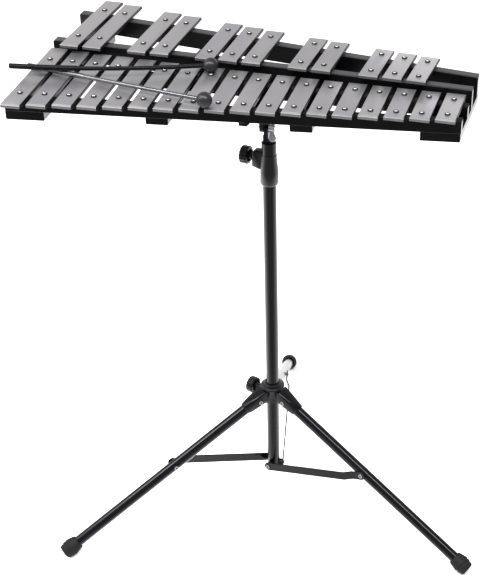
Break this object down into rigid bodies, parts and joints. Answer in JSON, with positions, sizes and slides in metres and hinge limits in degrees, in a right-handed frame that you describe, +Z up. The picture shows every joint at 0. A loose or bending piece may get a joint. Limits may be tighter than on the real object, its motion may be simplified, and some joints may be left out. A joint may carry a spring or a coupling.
{
  "type": "metallophone",
  "caption": "Tuned percussion: metal bars in two rows on a black wooden frame that tapers, on a folding tripod stand with a telescopic post, with mallets on top",
  "frame": {"origin": "on the floor, under the middle of the whole part's bounding box", "axes": "+Z up, +X from the long bars to the short bars, +Y from the player's side to the far side"},
  "size_m": [0.6504, 0.5574, 0.6809],
  "materials": {
    "bar_aluminium": "satin",
    "black_wood": "black satin paint",
    "black_steel": "black satin coat",
    "black_plastic": "moulded, matt",
    "grey_plastic": "smooth",
    "black_rubber": "matt",
    "bare_steel": "zinc plated"
  },
  "bodies": {
    "base": {"outer_tube": "black_steel", "clamp": "black_plastic", "brace_collar": "black_plastic"},
    "hub": {"leg_hub": "black_plastic"},
    "clamp_knob": {"clamp_knob": "black_plastic"},
    "hub_knob": {"hub_knob": "black_plastic"},
    "inner_tube": {"inner_tube": "black_steel"},
    "post_head": {"post_head": "black_steel"},
    "instrument": {"mount_bracket": "black_steel", "tilt_bolt": "bare_steel", "rail_front": "black_wood", "rail_middle_front": "black_wood", "rail_middle_rear": "black_wood", "rail_rear": "black_wood", "crossbar_left": "black_wood", "crossbar_middle_left": "black_wood", "crossbar_middle_right": "black_wood", "crossbar_right": "black_wood", "bar_A5": "bar_aluminium", "bar_A6": "bar_aluminium", "bar_A7": "bar_aluminium", "bar_A_sharp5": "bar_aluminium", "bar_A_sharp6": "bar_aluminium", "bar_A_sharp7": "bar_aluminium", "bar_B5": "bar_aluminium", "bar_B6": "bar_aluminium", "bar_B7": "bar_aluminium", "bar_C6": "bar_aluminium", "bar_C7": "bar_aluminium", "bar_C8": "bar_aluminium", "bar_C_sharp6": "bar_aluminium", "bar_C_sharp7": "bar_aluminium", "bar_D6": "bar_aluminium", "bar_D7": "bar_aluminium", "bar_D_sharp6": "bar_aluminium", "bar_D_sharp7": "bar_aluminium", "bar_E6": "bar_aluminium", "bar_E7": "bar_aluminium", "bar_F6": "bar_aluminium", "bar_F7": "bar_aluminium", "bar_F_sharp6": "bar_aluminium", "bar_F_sharp7": "bar_aluminium", "bar_G5": "bar_aluminium", "bar_G6": "bar_aluminium", "bar_G7": "bar_aluminium", "bar_G_sharp5": "bar_aluminium", "bar_G_sharp6": "bar_aluminium", "bar_G_sharp7": "bar_aluminium"},
    "wing_nut": {"wing_nut": "bare_steel"},
    "mallet_lower": {"mallet_lower": "grey_plastic"},
    "mallet_upper": {"mallet_upper": "black_plastic"},
    "leg_right": {"leg_right": "black_steel", "foot_right": "black_rubber"},
    "brace_right": {"brace_right": "black_steel"},
    "leg_left": {"leg_left": "black_steel", "foot_left": "black_rubber"},
    "brace_left": {"brace_left": "black_steel"},
    "leg_rear": {"leg_rear": "black_steel", "foot_rear": "black_rubber"},
    "brace_rear": {"brace_rear": "black_steel"}
  },
  "joints": [
    {"name": "hub_slide", "type": "slide", "parent": "base", "child": "hub", "axis": [0, 0, 1], "range_m": [0, 0.192]},
    {"name": "height_slide", "type": "slide", "parent": "base", "child": "inner_tube", "axis": [0, 0, 1], "range_m": [0, 0.2]},
    {"name": "post_swivel", "type": "hinge", "parent": "inner_tube", "child": "post_head", "pos_m": [0.00527, -0.05516, 0.5687], "axis": [0, 0, 1], "continuous": true},
    {"name": "frame_tilt", "type": "hinge", "parent": "post_head", "child": "instrument", "pos_m": [0.00527, -0.05516, 0.6049], "axis": [1, 0, 0], "range_deg": [-20, 60]},
    {"name": "wing_nut_turn", "type": "hinge", "parent": "instrument", "child": "wing_nut", "pos_m": [0.00527, -0.05516, 0.6049], "axis": [1, 0, 0], "continuous": true},
    {"name": "clamp_knob_turn", "type": "hinge", "parent": "base", "child": "clamp_knob", "pos_m": [0.00527, -0.05516, 0.5609], "axis": [0.9848, -0.1736, 0], "continuous": true},
    {"name": "hub_knob_turn", "type": "hinge", "parent": "hub", "child": "hub_knob", "pos_m": [0.00527, -0.05516, 0.1852], "axis": [0.9409, -0.3387, 0], "continuous": true},
    {"name": "mallet_lower_lift", "type": "slide", "parent": "instrument", "child": "mallet_lower", "axis": [0, 0, 1], "range_m": [0, 0.1]},
    {"name": "mallet_upper_lift", "type": "slide", "parent": "mallet_lower", "child": "mallet_upper", "axis": [0, 0, 1], "range_m": [0, 0.1]},
    {"name": "leg_right_fold", "type": "hinge", "parent": "hub", "child": "leg_right", "pos_m": [0.02766, -0.06323, 0.1803], "axis": [0.3387, 0.9409, 0], "range_deg": [0, 58.04]},
    {"name": "brace_right_fold", "type": "hinge", "parent": "base", "child": "brace_right", "pos_m": [0.00527, -0.05516, 0.0555], "axis": [-0.3387, -0.9409, 0], "range_deg": [0, 61.56]},
    {"name": "leg_left_fold", "type": "hinge", "parent": "hub", "child": "leg_left", "pos_m": [-0.01291, -0.07053, 0.1803], "axis": [0.6455, -0.7638, 0], "range_deg": [0, 58.04]},
    {"name": "brace_left_fold", "type": "hinge", "parent": "base", "child": "brace_left", "pos_m": [0.00527, -0.05516, 0.0555], "axis": [-0.6455, 0.7638, 0], "range_deg": [0, 61.56]},
    {"name": "leg_rear_fold", "type": "hinge", "parent": "hub", "child": "leg_rear", "pos_m": [0.00106, -0.03174, 0.1803], "axis": [-0.9842, -0.1771, 0], "range_deg": [0, 58.04]},
    {"name": "brace_rear_fold", "type": "hinge", "parent": "base", "child": "brace_rear", "pos_m": [0.00527, -0.05516, 0.0555], "axis": [0.9842, 0.1771, 0], "range_deg": [0, 61.56]}
  ],
  "couplings": [
    {"joint": "leg_right_fold", "follows": "hub_slide", "rad_per_m": 5.2662},
    {"joint": "brace_right_fold", "follows": "hub_slide", "rad_per_m": 5.5865},
    {"joint": "leg_left_fold", "follows": "hub_slide", "rad_per_m": 5.2662},
    {"joint": "brace_left_fold", "follows": "hub_slide", "rad_per_m": 5.5865},
    {"joint": "leg_rear_fold", "follows": "hub_slide", "rad_per_m": 5.2662},
    {"joint": "brace_rear_fold", "follows": "hub_slide", "rad_per_m": 5.5865}
  ]
}
